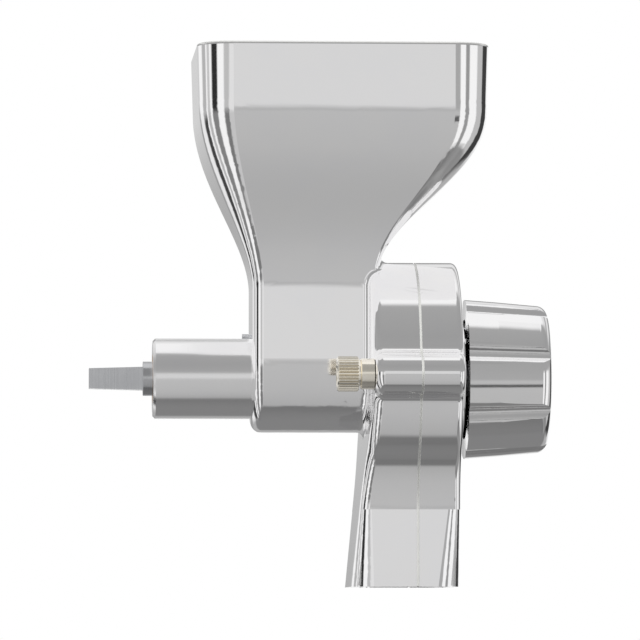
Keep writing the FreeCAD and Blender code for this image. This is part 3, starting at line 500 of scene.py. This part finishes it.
def wind_thread(bm, axis_point, start, finish):
    """Wind a ridge from start to finish on the axis, sinking into the core at both ends."""
    turns = round((finish - start) / PITCH) - 1
    corners = [bm.verts.new(axis_point + Vector((start + x, 0, r))) for x, r in section]
    first = bm.faces.new(corners)
    spun = bmesh.ops.spin(bm, geom=corners + first.edges[:], cent=axis_point, axis=along,
                          angle=math.tau * turns, dvec=along * PITCH / STEPS_A_TURN,
                          steps=STEPS_A_TURN * turns)
    bmesh.ops.edgeloop_fill(bm, edges=[g for g in spun["geom_last"] if isinstance(g, bmesh.types.BMEdge)])
    ridge = [v for v in bm.verts if start <= v.co.x <= finish]
    for v in ridge:
        arm = v.co - axis_point
        arm.x = 0
        to_end = min(v.co.x - start, finish - v.co.x) / PITCH
        on_ridge = arm.length > CORE_RADIUS + 0.01 * MM
        if on_ridge and to_end < 1:
            sunk = FOOT_RADIUS + (STEM_RADIUS - FOOT_RADIUS) * to_end
            v.co = axis_point + along * v.co.x + arm.normalized() * min(arm.length, sunk)


for side in ("near", "far"):
    low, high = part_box("thumb_screw_" + side)
    collar_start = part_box("screw_collar_" + side)[0].x
    bm, axis_point = screw_blank(low, high, collar_start)
    wind_thread(bm, axis_point, thread_start + RUN_IN, high.x - RUN_OUT)
    screw = make_piece(bm, f"thumb_screw_{side}_threaded", nickel)
    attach(screw, "screw_" + side)
    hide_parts("thumb_screw_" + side)

# %% [markdown]
# A polished object is mostly a picture of the room round it, so the room is designed with care. It is
# painted into the world by direction: a tone for each height above or below the horizon, and upright
# boards at some bearings. By height, the front is a middle grey and the back is dark just above the
# horizon, which draws a dark line along the top edges, and paler higher up. Overhead both are white. Real
# boards and lamps could do the same, but they would light the floor as well, and each would need its own
# place.

# %% The studio: tones by height
studio = bpy.data.worlds.new("studio")
scene.world = studio
studio.use_nodes = True
tree = studio.node_tree
tree.nodes.clear()
facing = add(tree, "SeparateXYZ", {0: add(tree, "TexCoord").outputs["Generated"]}).outputs
rise = add(tree, "Math", {0: facing["Z"]}, operation="ARCSINE").outputs[0]
height = add(tree, "MapRange", {"Value": rise, "From Min": -math.pi / 2, "From Max": math.pi / 2}).outputs[0]


def set_stops(node, stops, widest):
    """Fill a colour ramp from (degrees, grey) rows between -widest and widest. A grey of None is a gap."""
    ramp = node.color_ramp.elements
    while len(ramp) > 1:
        ramp.remove(ramp[-1])
    for i, (degrees, grey) in enumerate(stops):
        at = (degrees + widest) / (2 * widest)
        stop = ramp.new(at) if i else ramp[0]
        stop.position = at
        stop.color = (0.5, 0.5, 0.5, 0.0) if grey is None else (grey, grey, grey, 1.0)


front_tones = [(-90, 0.24), (-75, 0.22), (-62, 0.19), (-58, 0.445), (-45, 0.48), (-35, 0.505), (-20, 0.52),
               (-5, 0.53), (-2, 0.42), (17, 0.395), (40, 0.365), (70, 0.40), (74, 0.41), (78, 1.0), (90, 1.0)]
back_tones = [(-90, 0.24), (-45, 0.24), (-36, 0.46), (-3, 0.44), (1, 0.40), (4, 0.28), (17, 0.28), (23, 0.80),
              (33, 0.85), (36, 0.45), (41, 0.45), (45, 0.80), (56, 0.84), (62, 1.0), (90, 1.0)]
front = add(tree, "ValToRGB", {0: height})
back = add(tree, "ValToRGB", {0: height})
set_stops(front, front_tones, 90)
set_stops(back, back_tones, 90)
print(len(front_tones), "tones in front and", len(back_tones), "behind")

# %% [markdown]
# The upright boards stand round the mill in an upper and a lower row. Dark boards between pale ones draw the
# crisp lines on the upright corners of the hopper and the chute. A colour ramp over the bearing holds each
# row, which is quicker to change than a board for each line would be. Its alpha leaves a stretch of the
# front open, and there the tones by height show.

# %% The studio: two rows of upright boards
towards = add(tree, "Math", {0: facing["Y"], 1: -1.0}, operation="MULTIPLY").outputs[0]
turn = add(tree, "Math", {0: facing["X"], 1: towards}, operation="ARCTAN2").outputs[0]
bearing = add(tree, "MapRange", {"Value": turn, "From Min": -math.pi, "From Max": math.pi}).outputs[0]
# A bearing of 0 is the camera's side of the mill, and the bearings on the knob's side are positive.
upper_row = [(-150, 0.65), (-145, 1.0), (-125, 1.0), (-118, 0.49), (-104, 0.49), (-100, 1.0), (-97, 1.0),
             (-94, 0.6), (-86, 0.6), (-83, 1.0), (-78, 1.0), (-73, 0.03), (-56, 0.03), (-52, 1.0), (-33, 1.0),
             (-29, 0.55), (-16, 0.55), (-12, 0.81), (-2, 0.81), (0, None), (19, None), (22, 1.0), (38, 1.0),
             (40, 0.33), (51, 0.33), (54, 1.0), (81, 1.0), (85, 0.55), (107, 0.55), (111, 0.05), (138, 0.05),
             (143, 1.0)]
lower_row = [(-150, 0.34), (-145, 0.9), (-125, 0.9), (-118, 0.06), (-104, 0.06), (-100, 1.0), (-97, 1.0),
             (-94, 0.5), (-86, 0.5), (-83, 1.0), (-78, 1.0), (-73, 0.24), (-56, 0.24), (-52, 1.0), (-33, 1.0),
             (-29, 0.2), (-16, 0.2), (-12, 0.6), (-2, 0.6), (0, None), (19, None), (21, 0.2), (48, 0.28),
             (63, 0.31), (79, 0.27), (97, 0.29), (108, 0.28), (114, 0.07), (136, 0.07), (143, 0.37)]
upper = add(tree, "ValToRGB", {0: bearing})
lower = add(tree, "ValToRGB", {0: bearing})
set_stops(upper, upper_row, 180)
set_stops(lower, lower_row, 180)
print(len(upper_row), "edges in the upper row and", len(lower_row), "in the lower one")

# %% [markdown]
# A board's height matters as much as its bearing. The lower row starts just under eye level on the left,
# higher towards the back, and far down on the right. Both rows end a little above eye level. At the sides
# they reach far down, but not at the back. Comparing a direction's height with an edge that changes with the
# bearing gives such steps without any mesh, and a short Map Range softens each edge.

# %% The studio: where the lower row starts
row_fade = 5
row_edge = add(tree, "MapRange", {"Value": turn, "From Min": math.radians(-150),
                                  "From Max": math.radians(-118), "To Min": math.radians(4.5),
                                  "To Max": math.radians(-3)}).outputs[0]
on_right = add(tree, "Math", {0: turn, 1: 0.0}, operation="GREATER_THAN").outputs[0]
row_edge = add(tree, "Math", {0: on_right, 1: math.radians(-34), 2: row_edge},
               operation="MULTIPLY_ADD").outputs[0]
under_edge = add(tree, "Math", {0: row_edge, 1: rise}, operation="SUBTRACT").outputs[0]
lowered = add(tree, "MapRange", {"Value": under_edge, "From Max": math.radians(row_fade)}).outputs[0]
upright = add(tree, "Mix", {0: lowered, 6: upper.outputs["Color"], 7: lower.outputs["Color"]},
              data_type="RGBA").outputs[2]
print("the lower row fades in over", row_fade, "degrees")

# %% The studio: where the boards end
full_height, top_edge = 7, 11
off_front = add(tree, "Math", {0: turn}, operation="ABSOLUTE").outputs[0]
below_top = add(tree, "MapRange", {"Value": rise, "From Min": math.radians(full_height),
                                   "From Max": math.radians(top_edge),
                                   "To Min": 1.0, "To Max": 0.0}).outputs[0]
foot = add(tree, "MapRange", {"Value": off_front, "From Min": math.radians(100),
                              "From Max": math.radians(150), "To Min": math.radians(-66),
                              "To Max": math.radians(-20)}).outputs[0]
over_foot = add(tree, "Math", {0: rise, 1: foot}, operation="SUBTRACT").outputs[0]
above_foot = add(tree, "MapRange", {"Value": over_foot, "From Max": math.radians(12)}).outputs[0]
reach = add(tree, "Math", {0: below_top, 1: above_foot}, operation="MULTIPLY").outputs[0]
behind = add(tree, "MapRange", {"Value": off_front, "From Min": math.radians(95),
                                "From Max": math.radians(125)}, interpolation_type="SMOOTHSTEP").outputs[0]
backdrop = add(tree, "Mix", {0: behind, 6: front.outputs["Color"], 7: back.outputs["Color"]},
               data_type="RGBA").outputs[2]
shown = add(tree, "Math", {0: upper.outputs["Alpha"], 1: reach}, operation="MULTIPLY").outputs[0]
room = add(tree, "Mix", {0: shown, 6: backdrop, 7: upright}, data_type="RGBA").outputs[2]
print("the boards end", top_edge, "degrees above eye level")

# %% [markdown]
# Three small patches finish the open stretch in front: a pale band at eye level, as a window would give,
# beside it a dark rail, which draws a dark line across the knob, and far below a dark step, which shades
# the undersides. Each patch is a middle with soft edges, in bearing and in height.

# %% The studio: patches in front
# Each patch: its grey, its middle in bearing and height, and how far from it each fade starts and ends.
pale_band = (0.735, 0.0, 6.0, (8.5, 10.5), (6.0, 9.5))
dark_rail = (0.10, 14.0, -11.8, (3.8, 4.6), (1.2, 3.0))
dark_step = (0.18, 17.5, -58.0, (6.0, 8.0), (10.0, 13.0))
bare = add(tree, "Math", {0: 1.0, 1: shown}, operation="SUBTRACT").outputs[0]
for grey, middle_turn, middle_rise, turn_edge, rise_edge in (pale_band, dark_rail, dark_step):
    held = 1.0
    for angle, middle, edge in ((turn, middle_turn, turn_edge), (rise, middle_rise, rise_edge)):
        off = add(tree, "Math", {0: angle, 1: math.radians(middle)}, operation="SUBTRACT").outputs[0]
        off = add(tree, "Math", {0: off}, operation="ABSOLUTE").outputs[0]
        near = add(tree, "MapRange", {"Value": off, "From Min": math.radians(edge[0]),
                                      "From Max": math.radians(edge[1]),
                                      "To Min": 1.0, "To Max": 0.0}).outputs[0]
        held = add(tree, "Math", {0: near, 1: held}, operation="MULTIPLY").outputs[0]
    held = add(tree, "Math", {0: held, 1: bare}, operation="MULTIPLY").outputs[0]
    room = add(tree, "Mix", {0: held, 6: room, 7: (grey, grey, grey, 1.0)}, data_type="RGBA").outputs[2]
print("the band is", pale_band[0], "and the rail", dark_rail[0])

# %% [markdown]
# The camera sees plain white behind the mill, the metal sees the room, and everything else is lit by an
# even grey. Light Path tells these rays apart: camera, glossy and transmission rays get the white and the
# room, and diffuse rays get the even fill, which keeps the light level plain. Where the metal mirrors
# itself, as in a joint or under the hopper, a second reflection that goes up gets plain white, because the
# boards would cross there in busy dark shapes.

# %% The studio: what each kind of ray sees
ray = add(tree, "LightPath").outputs
again = add(tree, "Math", {0: ray["Glossy Depth"], 1: 1.5}, operation="GREATER_THAN").outputs[0]
upwards = add(tree, "MapRange", {"Value": rise, "From Min": math.radians(-8), "From Max": 0.0}).outputs[0]
again = add(tree, "Math", {0: again, 1: upwards}, operation="MULTIPLY").outputs[0]
plain = add(tree, "Math", {0: ray["Is Camera Ray"], 1: again}, operation="MAXIMUM").outputs[0]
seen = add(tree, "Mix", {0: plain, 6: room, 7: (1.0, 1.0, 1.0, 1.0)}, data_type="RGBA").outputs[2]
mirrored = add(tree, "Math", {0: ray["Is Glossy Ray"], 1: ray["Is Transmission Ray"]},
               operation="MAXIMUM").outputs[0]
direct = add(tree, "Math", {0: ray["Is Camera Ray"], 1: mirrored}, operation="MAXIMUM").outputs[0]
fill = add(tree, "Background", {"Color": (0.6, 0.6, 0.6, 1.0)})
visible = add(tree, "Background", {"Color": seen})
mixed = add(tree, "MixShader", {0: direct, 1: fill.outputs[0], 2: visible.outputs[0]})
add(tree, "OutputWorld", {"Surface": mixed.outputs[0]})
print("the studio has", len(tree.nodes), "nodes")

# %% [markdown]
# The mill hangs on its hub, so the floor lies well below it, at the height of a table that would carry the
# drive. It is a disc of white paper. Its rim would show as a line in views from above, so the paper fades
# to clear with the distance from the middle, and it is clear from below, so that the mill's underside can be
# seen. Mirrors don't see it: they see the painted room instead.

# %% The floor: a disc
FLOOR_HEIGHT, FLOOR_RADIUS = -0.36, 1.6
bm = bmesh.new()
bmesh.ops.create_circle(bm, cap_ends=True, segments=96, radius=FLOOR_RADIUS)
bmesh.ops.translate(bm, verts=bm.verts, vec=(0, 0, FLOOR_HEIGHT))
floor_mesh = bpy.data.meshes.new("floor")
bm.to_mesh(floor_mesh)
bm.free()
floor = bpy.data.objects.new("floor", floor_mesh)
scene.collection.objects.link(floor)
floor.visible_glossy = False
print("floor at", FLOOR_HEIGHT, "m")

# %% The floor: white paper
paper = bpy.data.materials.new("white_paper")
paper.use_nodes = True
tree = paper.node_tree
shader = tree.nodes["Principled BSDF"]
place = add(tree, "TexCoord").outputs["Object"]
fibres = add(tree, "TexNoise", {"Vector": place, "Scale": per_mm(3), "Detail": 4.0}).outputs["Fac"]
shade = add(tree, "Mix", {0: fibres, 6: linear("#f2f2f1"), 7: linear("#f6f6f5")}, data_type="RGBA").outputs[2]
tree.links.new(shade, shader.inputs["Base Color"])
shader.inputs["Roughness"].default_value = 0.9
flat = add(tree, "VectorMath", {0: place, 1: (1, 1, 0)}, operation="MULTIPLY").outputs[0]
out = add(tree, "VectorMath", {0: flat}, operation="LENGTH").outputs["Value"]
fade = add(tree, "MapRange", {"Value": out, "From Min": 0.45 * FLOOR_RADIUS, "From Max": 0.95 * FLOOR_RADIUS},
           interpolation_type="SMOOTHSTEP").outputs[0]
underside = add(tree, "NewGeometry").outputs["Backfacing"]
fade = add(tree, "Math", {0: fade, 1: underside}, operation="MAXIMUM").outputs[0]
clear = add(tree, "BsdfTransparent").outputs[0]
ending = add(tree, "MixShader", {0: fade, 1: shader.outputs[0], 2: clear}).outputs[0]
tree.links.new(ending, tree.nodes["Material Output"].inputs["Surface"])
floor_mesh.materials.append(paper)
print(paper.name, "fades out before", FLOOR_RADIUS, "m")

# %% [markdown]
# One large softbox stands high on the camera's left. It gives the floor its soft shadow and the sandy
# surfaces inside the hopper their modelling. Mirrors don't see it either, because a lamp's bright square
# would cut through the painted room.

# %% The lamp
lamp = bpy.data.lights.new("softbox", "AREA")
lamp.size = 0.9
lamp.energy = 12
softbox = bpy.data.objects.new("softbox", lamp)
scene.collection.objects.link(softbox)
softbox.location = (-0.5, -0.9, 1.3)
softbox.rotation_euler = (Vector((0.03, 0, 0)) - softbox.location).to_track_quat("-Z", "Y").to_euler()
softbox.visible_glossy = False
print("softbox of", lamp.size, "m at", lamp.energy, "W")

# %% [markdown]
# The camera stands a little lower than the chute's end, towards the hub, and far away, so the upright edges
# stay nearly parallel and the rim is seen from just below. The lens is worked out from the width that the
# picture should hold at the mill.

# %% The camera
eye, target, framed = Vector((-0.105, -2.4, -0.105)), Vector((0.0285, 0, 0.02425)), 0.262
lens = bpy.data.cameras.new("camera")
lens.sensor_width = 36
lens.lens = lens.sensor_width * (target - eye).length / framed
camera = bpy.data.objects.new("camera", lens)
scene.collection.objects.link(camera)
camera.location = eye
camera.rotation_euler = (target - eye).to_track_quat("-Z", "Y").to_euler()
scene.camera = camera
scene.view_settings.view_transform = "Standard"
print("lens", round(lens.lens, 1), "mm at", round((target - eye).length, 3), "m")
